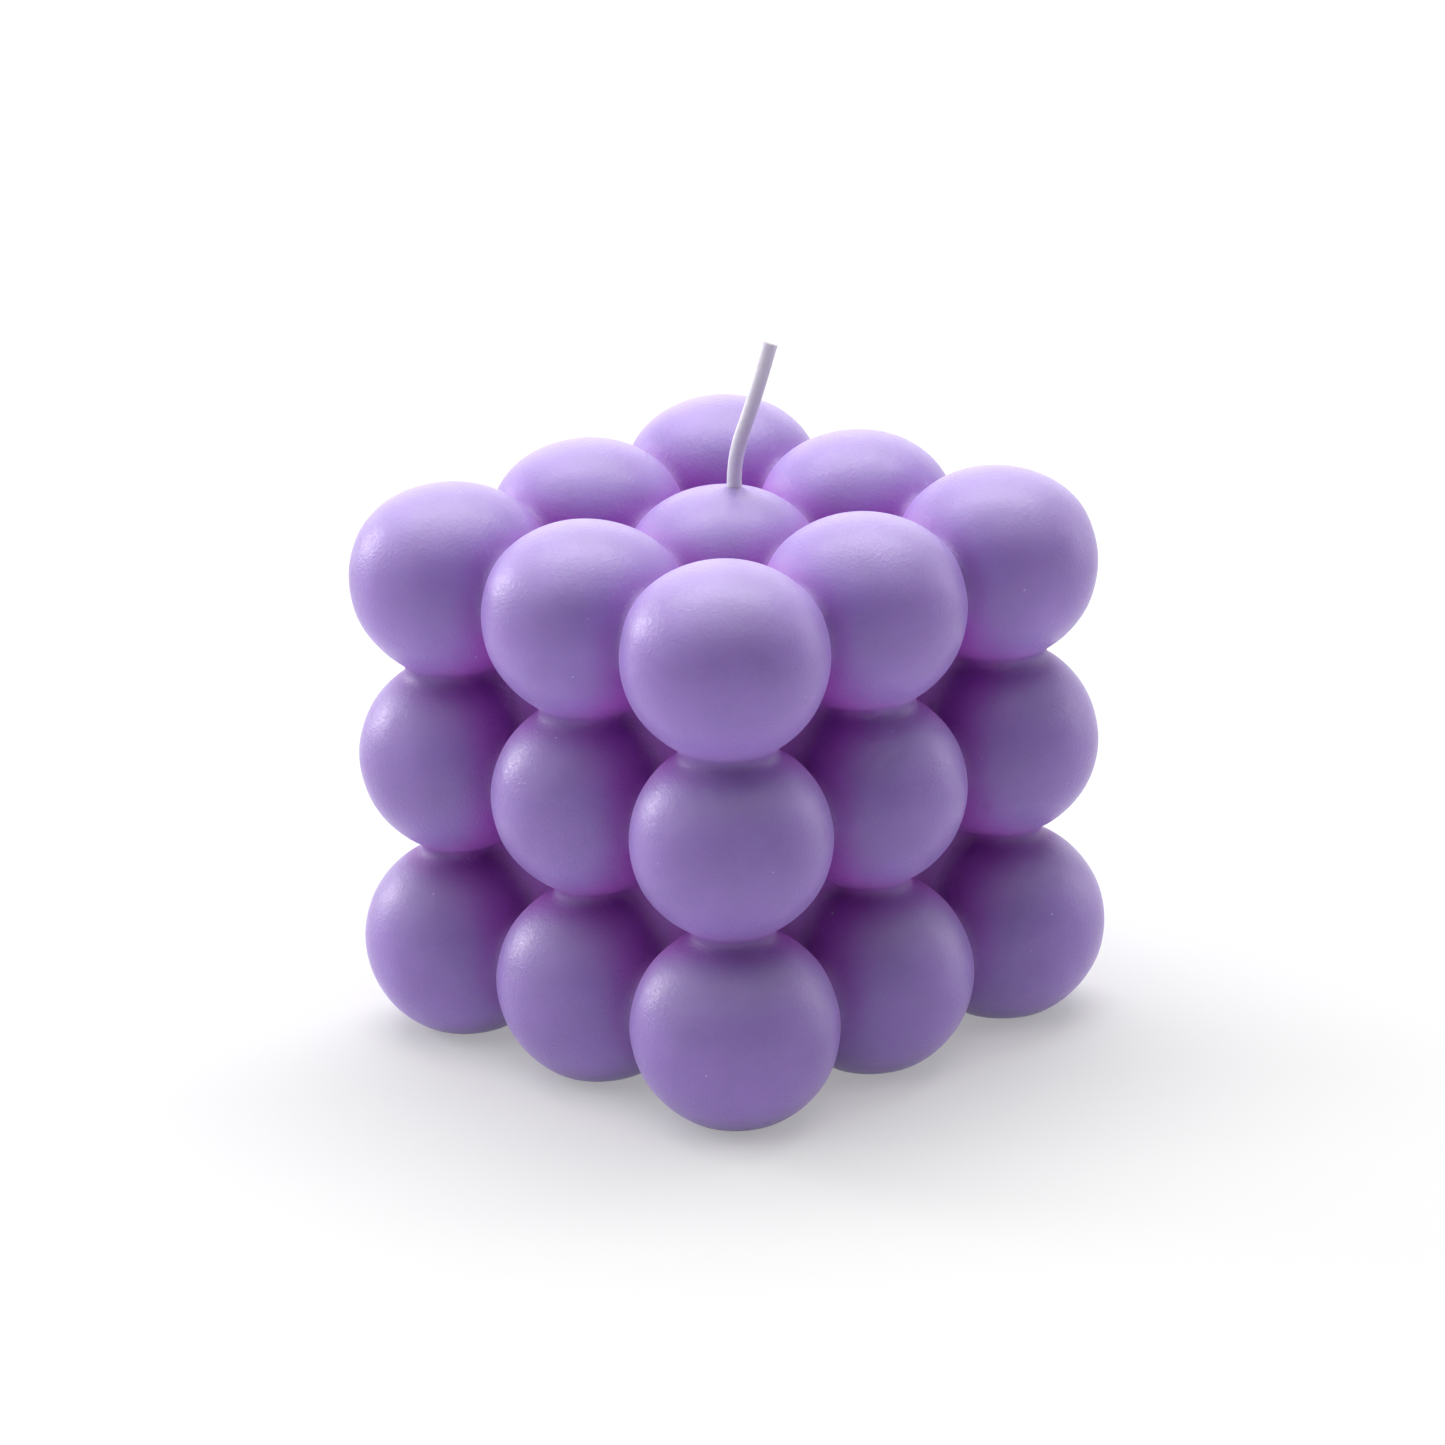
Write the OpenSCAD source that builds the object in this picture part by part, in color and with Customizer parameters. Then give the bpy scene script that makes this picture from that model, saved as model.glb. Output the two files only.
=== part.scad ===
// Bubble cube candle: one wax casting of three by three by three round bubbles that run into
// each other at short necks, with one waxed cotton wick cast in upright near its centre line.
// Millimetres, Z up. The origin is under the middle of the candle, on the surface it stands on.

/* [Bubbles] */
// Distance between the centres of neighbouring bubbles, along X and along Y
pitch = 19.5; // [17:0.1:21.5]
// Diameter of the bubbles of the bottom layer
bottom_bubble_d = 20.9; // [19.5:0.1:22.5]
// Diameter of the bubbles of the middle layer
middle_bubble_d = 20.2; // [19.5:0.1:22.5]
// Diameter of the bubbles of the top layer
top_bubble_d = 20.8; // [19.5:0.1:22.5]
// Height of the middle layer's centres above the bottom layer's
lower_step = 19.8; // [17:0.1:21.5]
// Height of the top layer's centres above the middle layer's
upper_step = 19; // [17:0.1:21.5]

/* [Casting] */
// Radius of the fillet in the neck where two bubbles meet
neck_fillet_r = 1.5; // [1:0.1:3]
// How far the floor of a pit between four bubbles lies behind the outer bubbles' centres
pit_depth = 0.6; // [0.2:0.1:3]
// Diameter of the flat foot under each bottom bubble
foot_d = 8.7; // [5:0.1:12]
// How much lower than a full ball the crown of each top bubble lies
crown_flat = 0.85; // [0.4:0.05:2]
// Radius of the flatter curve of those crowns
crown_r = 13.7; // [12.5:0.1:18]
// How much lower than its neighbours the top centre bubble lies, where the wax sank around the wick
centre_drop = 1; // [0.2:0.1:2.5]

/* [Wick] */
// Diameter of the waxed wick, and of the hole that the wax leaves around it
wick_d = 1.6; // [1.2:0.1:3]
// How far the wick stands off the candle's centre line, towards the side that it leans to
wick_offset = 1.3; // [0:0.1:3]
// Straight length of wick above the wax, before it leans over
wick_rise = 0.6; // [0.4:0.1:5]
// Radius of the wick's bend
wick_bend_r = 18; // [8:1:60]
// Lean of the wick's end from upright, in degrees
wick_lean = 19.5; // [5:0.5:40]
// Direction of the lean, in degrees from X towards Y
wick_lean_turn = -45; // [-180:5:180]
// Length of the straight end beyond the bend
wick_tip_l = 9.4; // [3:0.1:20]
// Slant of the snipped end, in degrees from level
wick_cut = 28; // [20:1:45]

/* [Hidden] */
$fn = 64;
// Places along one edge of the cube, in pitches from its middle
PLACES = [-1, 0, 1];
LAYER_R = [bottom_bubble_d, middle_bubble_d, top_bubble_d] / 2;
foot_depth = sqrt(pow(LAYER_R[0], 2) - pow(foot_d / 2, 2));
LAYER_Z = [foot_depth, foot_depth + lower_step, foot_depth + lower_step + upper_step];
wax_top_z = LAYER_Z[2] - centre_drop + LAYER_R[2] - crown_flat;
bend_z = wax_top_z + wick_rise;
core_half_w = pitch - pit_depth;
// How far a fillet reaches into a bubble, so that the two join in one clean edge
fillet_lap = 0.03;
// The wick's straight end starts this far inside its bend, and is this much thinner than the bend
tip_lap = 0.3;
tip_step = 0.02;

// A bubble's place is its number of pitches from the middle of the cube, along X, Y and Z
function radius_of(layer) = LAYER_R[layer + 1];
function height_of(layer) = LAYER_Z[layer + 1];
function centre_of(place) = [
    place[0] * pitch,
    place[1] * pitch,
    height_of(place[2]) - (place == [0, 0, 1] ? centre_drop : 0)
];

// One bubble of the casting: a ball, and in the top layer a ball with a flatter crown
module bubble(place) {
    translate(centre_of(place))
    if (place[2] == 1) crowned_ball();
    else sphere(r = radius_of(place[2]));
}

module crowned_ball() {
    r = top_bubble_d / 2;
    intersection() {
        sphere(r = r);
        translate([0, 0, r - crown_flat - crown_r]) sphere(r = crown_r);
    }
}

// The filleted neck between balls of radius ra and rb, whose centres are a and b
module neck(a, ra, b, rb) {
    along = b - a;
    gap = norm(along);
    reach_a = ra + neck_fillet_r - fillet_lap;
    reach_b = rb + neck_fillet_r - fillet_lap;
    waist = (gap * gap + reach_a * reach_a - reach_b * reach_b) / (2 * gap);
    fillet_x = sqrt(reach_a * reach_a - waist * waist);
    start = waist * ra / reach_a;
    end = gap - (gap - waist) * rb / reach_b;
    translate(a)
    rotate([0, acos(along[2] / gap), atan2(along[1], along[0])])
    rotate_extrude()
    difference() {
        translate([0, start]) square([fillet_x, end - start]);
        translate([fillet_x, waist]) circle(r = neck_fillet_r);
    }
}

// The neck between the bubble at one place and the next one a step away, if there is one
module neck_from(place, step) {
    next = place + step;
    if (max(next) <= max(PLACES))
        neck(centre_of(place), radius_of(place[2]), centre_of(next), radius_of(next[2]));
}

// Solid wax inside the bubbles, which closes the pits between them
module core() {
    translate([-core_half_w, -core_half_w, LAYER_Z[0] + pit_depth])
    cube([2 * core_half_w, 2 * core_half_w, LAYER_Z[2] - LAYER_Z[0] - 2 * pit_depth]);
}

// The whole casting
module wax_body() {
    color("#9f84d2")
    difference() {
        union() {
            core();
            for (i = PLACES, j = PLACES, k = PLACES) {
                bubble([i, j, k]);
                for (step = [[1, 0, 0], [0, 1, 0], [0, 0, 1]]) neck_from([i, j, k], step);
            }
        }
        under_feet();
        wick_hole();
    }
}

// Everything below the surface that the candle stands on
module under_feet() {
    w = 4 * pitch;
    translate([-w / 2, -w / 2, -w]) cube(w);
}

// The hole that the wick fills, right through the casting
module wick_hole() {
    wick_place()
    translate([0, 0, -wick_d])
    cylinder(d = wick_d, h = bend_z + wick_d);
}

// Puts its children at the foot of the wick, with their X the way that it leans
module wick_place() {
    rotate([0, 0, wick_lean_turn])
    translate([wick_offset, 0, 0])
    children();
}

// The wick: straight through the wax, a soft bend above it and a straight snipped end
module wick() {
    color("#cdc9de")
    wick_place()
    difference() {
        union() {
            cylinder(d = wick_d, h = bend_z);
            wick_bend();
            beyond_bend()
            translate([0, 0, -tip_lap])
            cylinder(d = wick_d - tip_step, h = tip_lap + wick_tip_l + wick_d);
        }
        beyond_bend() snip();
    }
}

// The bent stretch, which starts upright and leans towards X
module wick_bend() {
    translate([wick_bend_r, 0, bend_z])
    rotate([90, 0, 180])
    rotate_extrude(angle = wick_lean)
    translate([wick_bend_r, 0])
    circle(d = wick_d);
}

// Puts its children at the upper end of the bend, with their Z along the wick
module beyond_bend() {
    translate([wick_bend_r, 0, bend_z])
    rotate([0, wick_lean, 0])
    translate([-wick_bend_r, 0, 0])
    children();
}

// What the scissors take off the end
module snip() {
    w = 4 * wick_d;
    translate([0, 0, wick_tip_l])
    rotate([0, wick_cut - wick_lean, 0])
    translate([-w / 2, -w / 2, 0])
    cube(w);
}

wax_body();
wick();
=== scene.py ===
# A lilac bubble cube candle with a waxed cotton wick, on a white studio table. Metres, Z up.
import math

import bmesh
import bpy
import numpy as np
from mathutils import Matrix, Vector


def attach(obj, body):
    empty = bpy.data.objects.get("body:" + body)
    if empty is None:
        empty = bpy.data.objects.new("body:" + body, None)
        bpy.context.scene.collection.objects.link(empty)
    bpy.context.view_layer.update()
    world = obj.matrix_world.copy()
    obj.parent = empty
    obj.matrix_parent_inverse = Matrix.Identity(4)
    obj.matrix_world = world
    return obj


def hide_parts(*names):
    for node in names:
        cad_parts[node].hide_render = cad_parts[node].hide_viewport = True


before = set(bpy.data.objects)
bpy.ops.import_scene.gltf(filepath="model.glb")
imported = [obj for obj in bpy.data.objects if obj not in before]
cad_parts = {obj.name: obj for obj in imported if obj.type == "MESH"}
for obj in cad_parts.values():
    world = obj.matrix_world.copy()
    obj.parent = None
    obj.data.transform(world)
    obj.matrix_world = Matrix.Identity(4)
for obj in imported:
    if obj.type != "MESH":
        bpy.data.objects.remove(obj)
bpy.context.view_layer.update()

# The wax casting: twenty-seven balls of lilac candle wax, cast as one piece in a soft mould. They
# run into each other at round necks and stand on nine flats. The crowns of the top layer sank a
# little as the wax cooled, and no ball is quite true. The sizes here are in millimetres.
MM = 0.001
PITCH = 19.5
LAYERS = [(9.50, 10.45), (29.30, 10.10), (48.30, 10.40)]  # height of the centres, radius
SLIP = 0.09  # how far a ball may lie from its place
SHRINK = 0.1  # how much smaller than its layer's radius a ball may be
CROWN_FLAT, CROWN_R = 0.85, 13.7  # how far a crown sank, and the radius of its flatter curve
CROWN_ROUND = 1.2  # how softly that curve runs into the ball
CENTRE_DROP = 1.0  # how much lower the middle ball of the top layer lies
NECK_ROUND = 1.7  # how softly one ball runs into the next
PIT_DEPTH = 0.6  # how far the floor of a pit lies behind the outer balls' centres
PIT_ROUND = 1.2
FOOT_ROUND = 0.5
HALF_WIDTH = PITCH + LAYERS[0][1] - 0.01
CORE_HALF_WIDTH = PITCH - PIT_DEPTH
CORE_Z0, CORE_Z1 = LAYERS[0][0] + PIT_DEPTH, LAYERS[2][0] - PIT_DEPTH
WICK_R = 0.8
WICK_OFFSET, WICK_TURN = 1.3, math.radians(-45)  # the wick's place beside the centre line
WICK_FOOT = WICK_OFFSET * np.array([math.cos(WICK_TURN), math.sin(WICK_TURN)])
WICK_EXIT_Z = 56.75
# How far the wax crept up the wick, how softly it runs into it, and how thick it is there
CREEP_HEIGHT, CREEP_ROUND, CREEP_FILM = 0.25, 0.7, 0.02


def smooth_max(a, b, k):
    """The larger of two distances, with the edge between the two shapes rounded over k mm."""
    h = np.maximum(k - np.abs(a - b), 0.0) / k
    return np.maximum(a, b) + h * h * k * 0.25


def round_join(distances, r):
    """The distance to several shapes joined with rounds of about r mm."""
    near = np.sqrt((np.maximum(r - distances, 0.0) ** 2).sum(axis=0))
    return np.maximum(distances.min(axis=0), r) - near


def waves(p, size, rng, n=7):
    """A smooth, unrepeating wobble between about -1 and 1 with humps about size mm across."""
    total = np.zeros(len(p))
    for _ in range(n):
        way = rng.normal(size=3)
        way *= math.tau / (size * rng.uniform(1.4, 2.6)) / np.linalg.norm(way)
        total += np.sin(p @ way + rng.uniform(0, math.tau))
    return total / math.sqrt(n)


def bubbles():
    """Centre, radius and whether its crown sank, for each ball of the casting, in mm."""
    rng = np.random.default_rng(11)
    out = []
    for k, (z, r) in enumerate(LAYERS):
        for j in (-1, 0, 1):
            for i in (-1, 0, 1):
                slip = rng.uniform(-SLIP, SLIP, 3) * (1, 1, 0.4)
                drop = CENTRE_DROP if (i, j, k) == (0, 0, 2) else 0.0
                centre = np.array([i * PITCH, j * PITCH, z - drop]) + slip
                out.append((centre, r - rng.uniform(0.0, SHRINK), k == 2))
    return out


BALLS = bubbles()


def wax_distance(p):
    """Signed distance in mm from points p to the wax, less than zero inside it."""
    rng = np.random.default_rng(5)
    dents = 0.045 * waves(p, 9.0, rng) + 0.02 * waves(p, 3.4, rng)
    balls = []
    for centre, r, sunk in BALLS:
        d = np.linalg.norm(p - centre, axis=1) - r
        if sunk:
            low = centre + (0, 0, r - CROWN_FLAT - CROWN_R)
            d = smooth_max(d, np.linalg.norm(p - low, axis=1) - CROWN_R, CROWN_ROUND)
        balls.append(d)
    d = round_join(np.array(balls), NECK_ROUND)
    core = np.maximum(np.abs(p[:, 0]), np.abs(p[:, 1])) - CORE_HALF_WIDTH
    core = np.maximum(core, np.maximum(CORE_Z0 - p[:, 2], p[:, 2] - CORE_Z1))
    d = round_join(np.array([d, core]), PIT_ROUND)
    # The wax that crept up the wick, as a sleeve round it that starts inside the top ball
    sleeve = np.hypot(p[:, 0] - WICK_FOOT[0], p[:, 1] - WICK_FOOT[1]) - WICK_R - CREEP_FILM
    sleeve = np.maximum(sleeve, p[:, 2] - WICK_EXIT_Z - CREEP_HEIGHT)
    sleeve = np.maximum(sleeve, LAYERS[2][0] - p[:, 2])
    d = round_join(np.array([d + dents, sleeve]), CREEP_ROUND)
    d = smooth_max(d, -p[:, 2], FOOT_ROUND)
    side = np.maximum(np.abs(p[:, 0]), np.abs(p[:, 1])) - HALF_WIDTH
    return np.maximum(d, side)


def onto_wax(p, rounds):
    """Moves points onto the surface of the wax, along the slope of its distance."""
    nudge = 0.02
    for _ in range(rounds):
        d = wax_distance(p)
        slope = np.array([wax_distance(p + step) - d for step in np.eye(3) * nudge]).T / nudge
        slope /= np.maximum((slope**2).sum(axis=1, keepdims=True), 0.25)
        p = p - slope * d[:, None]
    return p


def link(obj):
    """Puts obj in the scene."""
    bpy.context.scene.collection.objects.link(obj)
    return obj


def voxel_remesh(obj, voxel):
    """Gives obj one closed mesh of even squares, each about voxel metres wide."""
    remesh = obj.modifiers.new("even_squares", "REMESH")
    remesh.mode = "VOXEL"
    remesh.voxel_size = voxel
    evaluated = obj.evaluated_get(bpy.context.evaluated_depsgraph_get())
    mesh = bpy.data.meshes.new_from_object(evaluated)
    obj.modifiers.clear()
    obj.data = mesh


def points(mesh):
    """The places of the mesh's points, one in each row."""
    p = np.empty(len(mesh.vertices) * 3)
    mesh.vertices.foreach_get("co", p)
    return p.reshape(-1, 3)


def set_points(mesh, p):
    """Moves the mesh's points to the rows of p."""
    mesh.vertices.foreach_set("co", np.ascontiguousarray(p).ravel())
    mesh.update()


def evened(mesh, p, share):
    """Each point's values, moved that share of the way to the mean of its neighbours'."""
    edges = np.empty(len(mesh.edges) * 2, dtype=np.int64)
    mesh.edges.foreach_get("vertices", edges)
    a, b = edges.reshape(-1, 2).T
    count = np.bincount(np.r_[a, b], minlength=len(p))[:, None]
    total = np.zeros_like(p)
    for axis in range(3):
        total[:, axis] = np.bincount(a, p[b, axis], len(p)) + np.bincount(b, p[a, axis], len(p))
    return p + share * (total / count - p)


def wax_casting():
    """The casting, from rough balls and a block that are drawn onto the surface of the wax."""
    shell = bmesh.new()
    for centre, r, _ in BALLS:
        place = Matrix.Translation(Vector(centre * MM))
        bmesh.ops.create_icosphere(shell, subdivisions=4, radius=r * MM, matrix=place)
    size = np.array([CORE_HALF_WIDTH * 2, CORE_HALF_WIDTH * 2, CORE_Z1 - CORE_Z0]) * MM
    middle = Vector((0, 0, (CORE_Z0 + CORE_Z1) / 2 * MM))
    place = Matrix.Translation(middle) @ Matrix.Diagonal((*size, 1))
    bmesh.ops.create_cube(shell, size=1, matrix=place)
    rough = bpy.data.meshes.new("wax_casting")
    shell.to_mesh(rough)
    shell.free()
    casting = link(bpy.data.objects.new("wax_casting", rough))
    voxel_remesh(casting, 0.64 * MM)
    mesh = casting.data
    p = onto_wax(points(mesh) / MM, 3)
    for _ in range(4):
        p = onto_wax(evened(mesh, p, 0.5), 2)
    set_points(mesh, p * MM)
    return casting


def smooth(mesh):
    """Shades the faces of the mesh as one curved surface."""
    for poly in mesh.polygons:
        poly.use_smooth = True


def facing(mesh):
    """The way that the surface faces at each point."""
    normals = np.empty(len(mesh.vertices) * 3)
    mesh.vertices.foreach_get("normal", normals)
    return normals.reshape(-1, 3)


def openness(mesh):
    """The share of its surroundings that each point sees past the balls, from 0 to 1."""
    p, normals = (points(mesh) / MM).astype(np.float32), facing(mesh).astype(np.float32)
    # Ways to look that are spread evenly over a sphere, a golden turn apart
    k = np.arange(72)
    z, turn = 1 - (2 * k + 1) / len(k), k * math.pi * (3 - math.sqrt(5))
    flat = np.sqrt(1 - z * z)
    ways = np.array([np.cos(turn) * flat, np.sin(turn) * flat, z], dtype=np.float32)
    share = np.clip(normals @ ways, 0, 1)
    seen = share.copy()
    for centre, r, _ in BALLS:
        to_ball = centre.astype(np.float32) - p
        ahead = to_ball @ ways
        passes = np.sqrt(np.maximum((to_ball**2).sum(axis=1)[:, None] - ahead**2, 0))
        seen *= np.where(ahead > 0, np.clip((passes - r) / 2 + 0.5, 0, 1), 1)
    seen = (seen.sum(axis=1) / share.sum(axis=1))[:, None].repeat(3, axis=1)
    for _ in range(6):
        seen = evened(mesh, seen, 0.6)
    return seen[:, 0]


def keep(mesh, name, values):
    """Keeps one value for each point of the mesh, for its material."""
    mesh.attributes.new(name, "FLOAT", "POINT").data.foreach_set("value", values)


wax = wax_casting()
smooth(wax.data)
open_share = openness(wax.data)
# How much each point sees past the balls; the wax's colour paints shade where this is low
keep(wax.data, "open_to_air", open_share)
# Where a pale sheen is painted on: the open crowns that face up
keep(wax.data, "painted_sheen_where", open_share**4 * np.clip(facing(wax.data)[:, 2], 0, 1) ** 1.5)


def colour(code):
    """A hex colour as the linear colour that Blender works in."""
    parts = [int(code[i : i + 2], 16) / 255 for i in (1, 3, 5)]
    return [c / 12.92 if c <= 0.04045 else ((c + 0.055) / 1.055) ** 2.4 for c in parts] + [1.0]


def every(mm):
    """The scale of a pattern that has one mark in every so many millimetres."""
    return 1 / (mm * MM)


def add(tree, kind, inputs=None, **settings):
    """Adds a node. Each input is a value, or the output socket that it is linked from."""
    made = tree.nodes.new(kind)
    for key, value in settings.items():
        setattr(made, key, value)
    for key, value in (inputs or {}).items():
        socket = made.inputs[key]
        if isinstance(value, bpy.types.NodeSocket):
            tree.links.new(value, socket)
        else:
            socket.default_value = value
    return made


def new_material(name):
    """An empty material and its node tree."""
    material = bpy.data.materials.new(name)
    material.use_nodes = True
    material.node_tree.nodes.clear()
    return material, material.node_tree


# Lilac paraffin wax, straight from a soft mould: satin and a little see-through, with the fine
# ripple of the mould all over. Its open sides are rubbed smoother than the pits. Shade is painted
# into its colour: deeper and redder between the balls, paler and greyer where they lie open.
material, tree = new_material("lilac_candle_wax")
at = add(tree, "ShaderNodeTexCoord").outputs["Object"]
ripple = add(
    tree, "ShaderNodeTexNoise",
    {"Vector": at, "Scale": every(0.357), "Detail": 2.0, "Roughness": 0.55, "Distortion": 0.8},
)
swell = add(tree, "ShaderNodeTexNoise", {"Vector": at, "Scale": every(3.03), "Detail": 1.0})
cloud = add(tree, "ShaderNodeTexNoise", {"Vector": at, "Scale": every(6.25), "Detail": 3.0})
air = add(tree, "ShaderNodeAttribute", attribute_name="open_to_air").outputs["Fac"]
# Painted shade: the colour runs from a deep shade tone between the balls to a paler open tone
unshaded_share = add(
    tree, "ShaderNodeMapRange", {0: air, 1: 0.25, 2: 0.85, 3: 0.0, 4: 1.0},
    interpolation_type="SMOOTHSTEP",
).outputs[0]
dye_and_shade = add(
    tree, "ShaderNodeMix",
    {0: unshaded_share, 6: colour("#9a50b3"), 7: colour("#8b72b4")}, data_type="RGBA",
).outputs[2]
mottle = add(
    tree, "ShaderNodeMapRange", {0: cloud.outputs["Fac"], 1: 0.3, 2: 0.7, 3: 0.94, 4: 1.06}
).outputs[0]
# Painted light and shade: darker in the lower layers, lighter in the top one, which gets more
# light from above
height = add(tree, "ShaderNodeSeparateXYZ", {0: at}).outputs["Z"]
painted_height_light = add(
    tree, "ShaderNodeMapRange", {0: height, 1: 22 * MM, 2: 46 * MM, 3: 0.9, 4: 1.06},
    interpolation_type="SMOOTHSTEP",
).outputs[0]
for strength in (mottle, painted_height_light):
    dye_and_shade = add(tree, "ShaderNodeVectorMath", {0: dye_and_shade, 3: strength}, operation="SCALE").outputs[0]
# Pale specks of undissolved dye, about five to a ball
specks = add(
    tree, "ShaderNodeTexVoronoi", {"Vector": at, "Scale": every(3.846)}
).outputs["Distance"]
specks = add(
    tree, "ShaderNodeMapRange", {0: specks, 1: 0.02, 2: 0.036, 3: 0.55, 4: 0.0}
).outputs[0]
dye_and_shade = add(
    tree, "ShaderNodeMix", {0: specks, 6: dye_and_shade, 7: colour("#cdbfe0")}, data_type="RGBA"
).outputs[2]
# Where the halves of the mould met, a fine and broken line round the middle of each layer
seam = 0.0
for layer_z, _ in LAYERS:
    line = add(
        tree, "ShaderNodeMath", {0: height, 1: layer_z * MM, 2: 0.07 * MM}, operation="COMPARE"
    ).outputs[0]
    seam = add(tree, "ShaderNodeMath", {0: seam, 1: line}, operation="ADD").outputs[0]
broken = add(tree, "ShaderNodeTexNoise", {"Vector": at, "Scale": every(11.11), "Detail": 2.0})
broken = add(
    tree, "ShaderNodeMapRange", {0: broken.outputs["Fac"], 1: 0.5, 2: 0.6, 3: 0.0, 4: 1.0}
).outputs[0]
seam = add(tree, "ShaderNodeMath", {0: seam, 1: broken}, operation="MULTIPLY").outputs[0]
# Short level scratches, from pulling the soft mould off
drag = add(
    tree, "ShaderNodeMapping", {"Vector": at, "Scale": (every(2.381), every(2.381), every(0.1923))}
)
drag = add(tree, "ShaderNodeTexNoise", {"Vector": drag.outputs[0], "Scale": 1.0, "Detail": 1.0})
drag = add(
    tree, "ShaderNodeMapRange", {0: drag.outputs["Fac"], 1: 0.64, 2: 0.72, 3: 0.0, 4: 1.0}
).outputs[0]
drag = add(tree, "ShaderNodeMath", {0: drag, 1: broken}, operation="MULTIPLY").outputs[0]
relief = add(
    tree, "ShaderNodeBump",
    {"Height": swell.outputs["Fac"], "Distance": 0.05 * MM, "Strength": 1.0},
).outputs[0]
for marks, depth in ((seam, 0.012), (drag, 0.015), (ripple.outputs["Fac"], 0.08)):
    relief = add(
        tree, "ShaderNodeBump",
        {"Height": marks, "Distance": depth * MM, "Strength": 1.0, "Normal": relief},
    ).outputs[0]
rubbed = add(
    tree, "ShaderNodeMapRange", {0: air, 1: 0.3, 2: 0.95, 3: 0.6, 4: 0.29},
    interpolation_type="SMOOTHSTEP",
).outputs[0]
satin_wax = add(
    tree, "ShaderNodeBsdfPrincipled",
    {
        "Base Color": dye_and_shade,
        "Roughness": rubbed,
        "IOR": 1.44,
        "Subsurface Weight": 1.0,
        "Subsurface Radius": (1.0, 0.5, 0.8),
        "Subsurface Scale": 6 * MM,
        "Normal": relief,
    },
)
# A painted sheen: pale white mixed into the crowns that lie open and face up, where the light from
# above falls most
painted_sheen_bsdf = add(tree, "ShaderNodeBsdfDiffuse", {"Color": colour("#eef4f2"), "Normal": relief})
sheen_mask = add(tree, "ShaderNodeAttribute", attribute_name="painted_sheen_where").outputs["Fac"]
painted_sheen_share = add(tree, "ShaderNodeMapRange", {0: sheen_mask, 3: 0.0, 4: 0.12}).outputs[0]
surface = add(
    tree, "ShaderNodeMixShader", {0: painted_sheen_share, 1: satin_wax.outputs[0], 2: painted_sheen_bsdf.outputs[0]}
)
add(tree, "ShaderNodeOutputMaterial", {"Surface": surface.outputs[0]})
wax.data.materials.clear()
wax.data.materials.append(material)
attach(wax, "root")
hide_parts("wax_body")

# The wick: a thin cotton braid, stiffened with pale wax before it was cast in. It leans over
# where it leaves the casting, and its end is snipped at a slant. The wax has drowned the braid,
# which shows only as a soft ripple.


def wick_mesh():
    """The wick, upright in the wax, leaning over as it leaves it and a little less at its end."""
    leaves, bend, total = 55.85, 8.0, 72.6  # where it starts to lean, over how much, its length
    lean_over, lean_back = 20, 4  # degrees
    slant = math.radians(9)
    lengths = np.r_[0.0, 40.0, np.linspace(52, total, 170)]
    sides = 28
    rng = np.random.default_rng(3)
    wobble = 0.012 * waves(lengths[:, None] * (0, 0, 1), 2.2, rng)
    fray = rng.uniform(-0.05, 0.05, sides)
    verts, x, z = [], 0.0, 0.0
    for i, length in enumerate(lengths):
        bent = min(max(length - leaves, 0.0) / bend, 1.0)
        beyond = max(length - leaves - bend, 0.0) / bend
        lean = math.radians(lean_over * (3 - 2 * bent) * bent**2 - lean_back * beyond)
        if i:
            x += math.sin(lean) * (length - lengths[i - 1])
            z += math.cos(lean) * (length - lengths[i - 1])
        # The scissors pressed the end a little wider, and its edge is rounded
        pressed = max(1 - (total - length) / 1.2, 0.0)
        edge = max(1 - (total - length) / 0.16, 0.0)
        thick = WICK_R - 0.04 + 0.06 * pressed**2 - 0.1 * edge**2 + wobble[i]
        for k in range(sides):
            turn = math.tau * k / sides
            braid = math.sin(3 * turn + length * 2.6) * math.cos(3 * turn - length * 2.6)
            r = thick + 0.008 * braid
            out = r * math.cos(turn)
            cut = (out * math.tan(slant) + fray[k]) * pressed
            verts.append((
                x + out * math.cos(lean) - cut * math.sin(lean),
                r * math.sin(turn),
                z - out * math.sin(lean) - cut * math.cos(lean),
            ))
    faces = []
    for i in range(len(lengths) - 1):
        for k in range(sides):
            a, b = i * sides + k, i * sides + (k + 1) % sides
            faces.append((a, b, b + sides, a + sides))
    faces.append(tuple(reversed(range(sides))))
    faces.append(tuple(range(len(verts) - sides, len(verts))))
    mesh = bpy.data.meshes.new("wick_strand")
    mesh.from_pydata(verts, [], faces)
    place = Matrix.Rotation(WICK_TURN, 4, "Z") @ Matrix.Translation((WICK_OFFSET, 0, 0))
    mesh.transform(Matrix.Scale(MM, 4) @ place)
    mesh.update()
    return mesh


wick = link(bpy.data.objects.new("wick_strand", wick_mesh()))
smooth(wick.data)
# Cotton soaked in pale wax: half gloss and softly see-through at its edge. The fibres are finer
# than the picture can show, so they are drawn as tufts half a millimetre apart
material, tree = new_material("waxed_cotton_wick")
at = add(tree, "ShaderNodeTexCoord").outputs["Object"]
fibres = add(
    tree, "ShaderNodeTexNoise",
    {"Vector": at, "Scale": every(0.5263), "Detail": 2.0, "Roughness": 0.6},
)
relief = add(
    tree, "ShaderNodeBump",
    {"Height": fibres.outputs["Fac"], "Distance": 0.07 * MM, "Strength": 1.0},
)
waxed_cotton = add(
    tree, "ShaderNodeBsdfPrincipled",
    {
        "Base Color": colour("#dddce2"),
        "Roughness": 0.5,
        "IOR": 1.44,
        "Subsurface Weight": 0.6,
        "Subsurface Radius": (1.0, 0.8, 0.9),
        "Subsurface Scale": 0.6 * MM,
        "Normal": relief.outputs["Normal"],
    },
)
add(tree, "ShaderNodeOutputMaterial", {"Surface": waxed_cotton.outputs["BSDF"]})
wick.data.materials.append(material)
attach(wick, "root")
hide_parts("wick")

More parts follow.
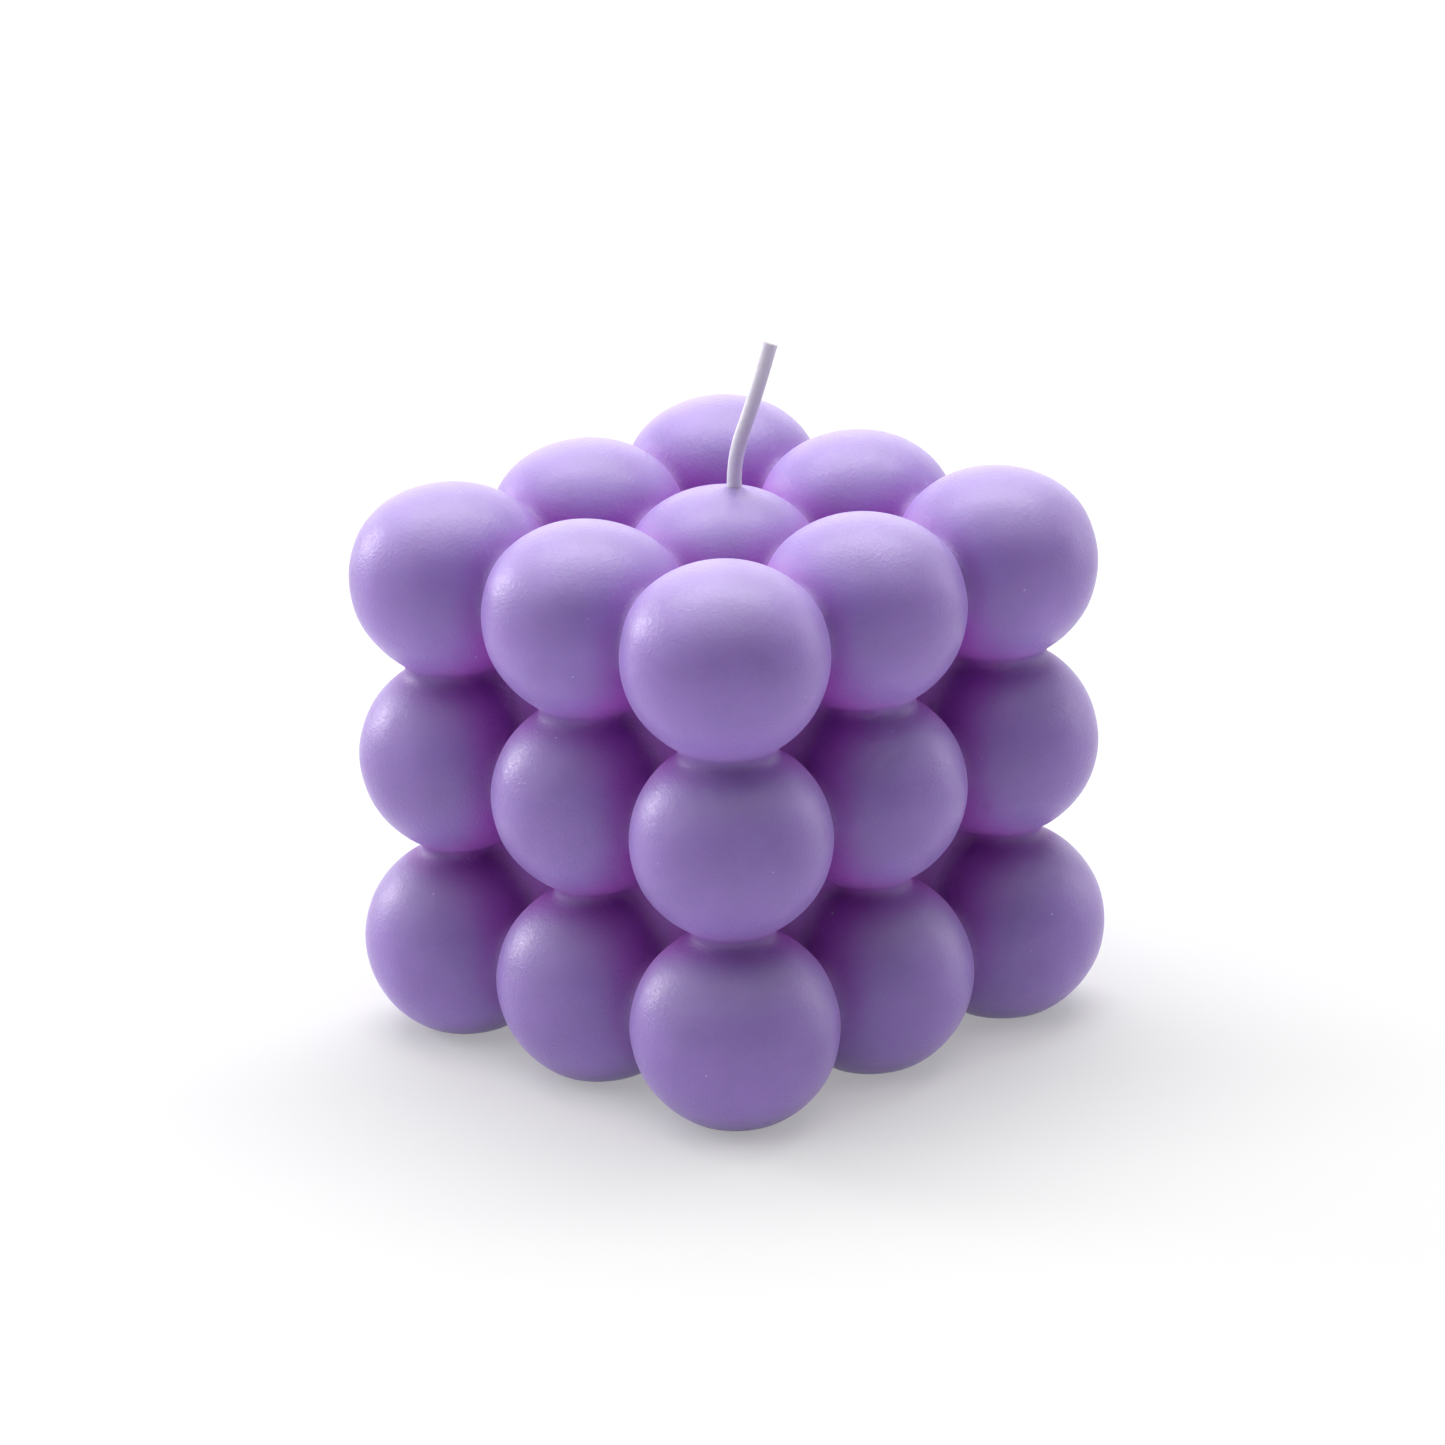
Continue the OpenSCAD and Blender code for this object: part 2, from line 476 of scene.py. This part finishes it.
# The table: a matt white top that reaches past the picture on every side, with the candle set
# down on it. It is lit to plain white, and keeps the candle's soft shadow.
half_side = 2.5
corners = [(-half_side, -half_side, 0), (half_side, -half_side, 0)]
corners += [(half_side, half_side, 0), (-half_side, half_side, 0)]
mesh = bpy.data.meshes.new("table_top")
mesh.from_pydata(corners, [], [(0, 1, 2, 3)])
table = link(bpy.data.objects.new("table_top", mesh))
# White board with a matt coat, which shows no gloss
material, tree = new_material("matt_white_board")
shade = add(tree, "ShaderNodeBsdfDiffuse", {"Color": (0.4, 0.4, 0.4, 1)})
lift = add(tree, "ShaderNodeEmission", {"Strength": 0.33})
shown = add(tree, "ShaderNodeAddShader", {0: shade.outputs["BSDF"], 1: lift.outputs[0]})
# The wax gets its light back mostly from the board close by, as the studio's far end is dim
at = add(tree, "ShaderNodeTexCoord").outputs["Object"]
away = add(tree, "ShaderNodeVectorMath", {0: at}, operation="LENGTH").outputs["Value"]
white = add(
    tree, "ShaderNodeMapRange", {0: away, 1: 0.05, 2: 0.28, 3: 0.95, 4: 0.3},
    interpolation_type="SMOOTHSTEP",
).outputs[0]
bounce = add(tree, "ShaderNodeBsdfDiffuse", {"Color": white})
# The board also glows faintly onto the wax: a painted fill light that lifts its lower sides
fill = add(tree, "ShaderNodeEmission", {"Strength": 0.15})
thrown = add(tree, "ShaderNodeAddShader", {0: bounce.outputs["BSDF"], 1: fill.outputs[0]})
ray = add(tree, "ShaderNodeLightPath")
seen = add(
    tree, "ShaderNodeMath",
    {0: ray.outputs["Is Camera Ray"], 1: ray.outputs["Is Glossy Ray"]}, operation="MAXIMUM",
).outputs[0]
board = add(tree, "ShaderNodeMixShader", {0: seen, 1: thrown.outputs[0], 2: shown.outputs[0]})
add(tree, "ShaderNodeOutputMaterial", {"Surface": board.outputs[0]})
mesh.materials.append(material)

# The studio: white surroundings, bright behind and beside the candle and dimmer on the side that
# the picture is taken from, with three lamps. All of it is out of the picture.
world = bpy.data.worlds.new("studio")
bpy.context.scene.world = world
world.use_nodes = True
tree = world.node_tree
tree.nodes.clear()
FRONT = Vector((-0.7033, -0.7108, 0.0))  # over the table, towards the camera
RIGHT = Vector((0.7108, -0.7033, 0.0))
UP = Vector((0, 0, 1))
way = add(tree, "ShaderNodeTexCoord").outputs["Generated"]


def glow(toward, start, full, level):
    """A soft patch of light on the surroundings, round the direction toward."""
    nearness = add(
        tree, "ShaderNodeVectorMath", {0: way, 1: toward.normalized()}, operation="DOT_PRODUCT"
    ).outputs["Value"]
    return add(
        tree, "ShaderNodeMapRange", {0: nearness, 1: start, 2: full, 3: 0.0, 4: level},
        interpolation_type="SMOOTHSTEP",
    ).outputs[0]


level = 0.0
for toward, start, full, strength in (
    (-FRONT + 0.15 * UP, 0.5, 0.95, 1.6),  # the backdrop behind the candle
    (-RIGHT + 0.15 * UP, 0.5, 0.95, 0.7),  # the wall on the left
    (UP, 0.75, 0.97, 1.4),  # the ceiling
    (0.5 * FRONT + 0.87 * UP, 0.8, 0.98, 0.5),  # above the camera
    (-0.7 * RIGHT + 0.7 * UP, 0.72, 0.97, 0.95),  # high on the left
    (0.7 * RIGHT + 0.7 * UP, 0.72, 0.97, 0.55),  # high on the right
):
    patch = glow(toward, start, full, strength)
    level = add(tree, "ShaderNodeMath", {0: level, 1: patch}, operation="ADD").outputs[0]
lit = add(tree, "ShaderNodeBackground", {"Color": (1, 1, 1, 1), "Strength": level})
plain = add(tree, "ShaderNodeBackground", {"Color": (1, 1, 1, 1), "Strength": 1.0})
ray = add(tree, "ShaderNodeLightPath")
around = add(
    tree, "ShaderNodeMixShader",
    {0: ray.outputs["Is Camera Ray"], 1: lit.outputs[0], 2: plain.outputs[0]},
)
add(tree, "ShaderNodeOutputWorld", {"Surface": around.outputs[0]})
CANDLE_TOP = Vector((0, 0, 0.055))


def soft_box(name, toward, distance, size, watts):
    """A soft box lamp in the direction toward from the candle's top, and turned to it."""
    lamp = bpy.data.lights.new(name, "AREA")
    lamp.shape = "RECTANGLE"
    lamp.size, lamp.size_y = size
    lamp.energy = watts
    box = link(bpy.data.objects.new(name, lamp))
    box.location = CANDLE_TOP + toward * distance
    box.rotation_euler = (-toward).to_track_quat("-Z", "Y").to_euler()


# Wide, over the candle and a little behind it
soft_box("overhead_box", -0.39 * FRONT + 0.92 * UP, 0.85, (1.1, 0.34), 7.3)
# Small and bright, low on the left behind the candle
soft_box("left_light", -0.825 * RIGHT - 0.515 * FRONT + 0.228 * UP, 0.9, (0.28, 0.36), 3.2)
# Large and soft, low on the right behind the candle
soft_box("right_panel", 0.85 * RIGHT - 0.35 * FRONT + 0.1 * UP, 0.9, (0.35, 0.6), 1.8)

# The camera: it looks along a diagonal of the cube and a little from above, through a long lens
azimuth, elevation, roll = (math.radians(v) for v in (-44.69, 19.47, 1.71))
back = Vector((
    math.sin(azimuth) * math.cos(elevation),
    -math.cos(azimuth) * math.cos(elevation),
    math.sin(elevation),
))
right = Vector((math.cos(azimuth), math.sin(azimuth), 0))
down = (-back).cross(right)
camera_x = math.cos(roll) * right + math.sin(roll) * down
camera_y = math.sin(roll) * right - math.cos(roll) * down
lens = bpy.data.cameras.new("camera")
lens.sensor_width = 36
lens.lens = 172.9
camera = link(bpy.data.objects.new("camera", lens))
turned = Matrix((camera_x, camera_y, back)).transposed().to_4x4()
camera.matrix_world = Matrix.Translation((-0.46933, -0.47361, 0.26747)) @ turned
bpy.context.scene.camera = camera
bpy.context.scene.view_settings.view_transform = "Standard"
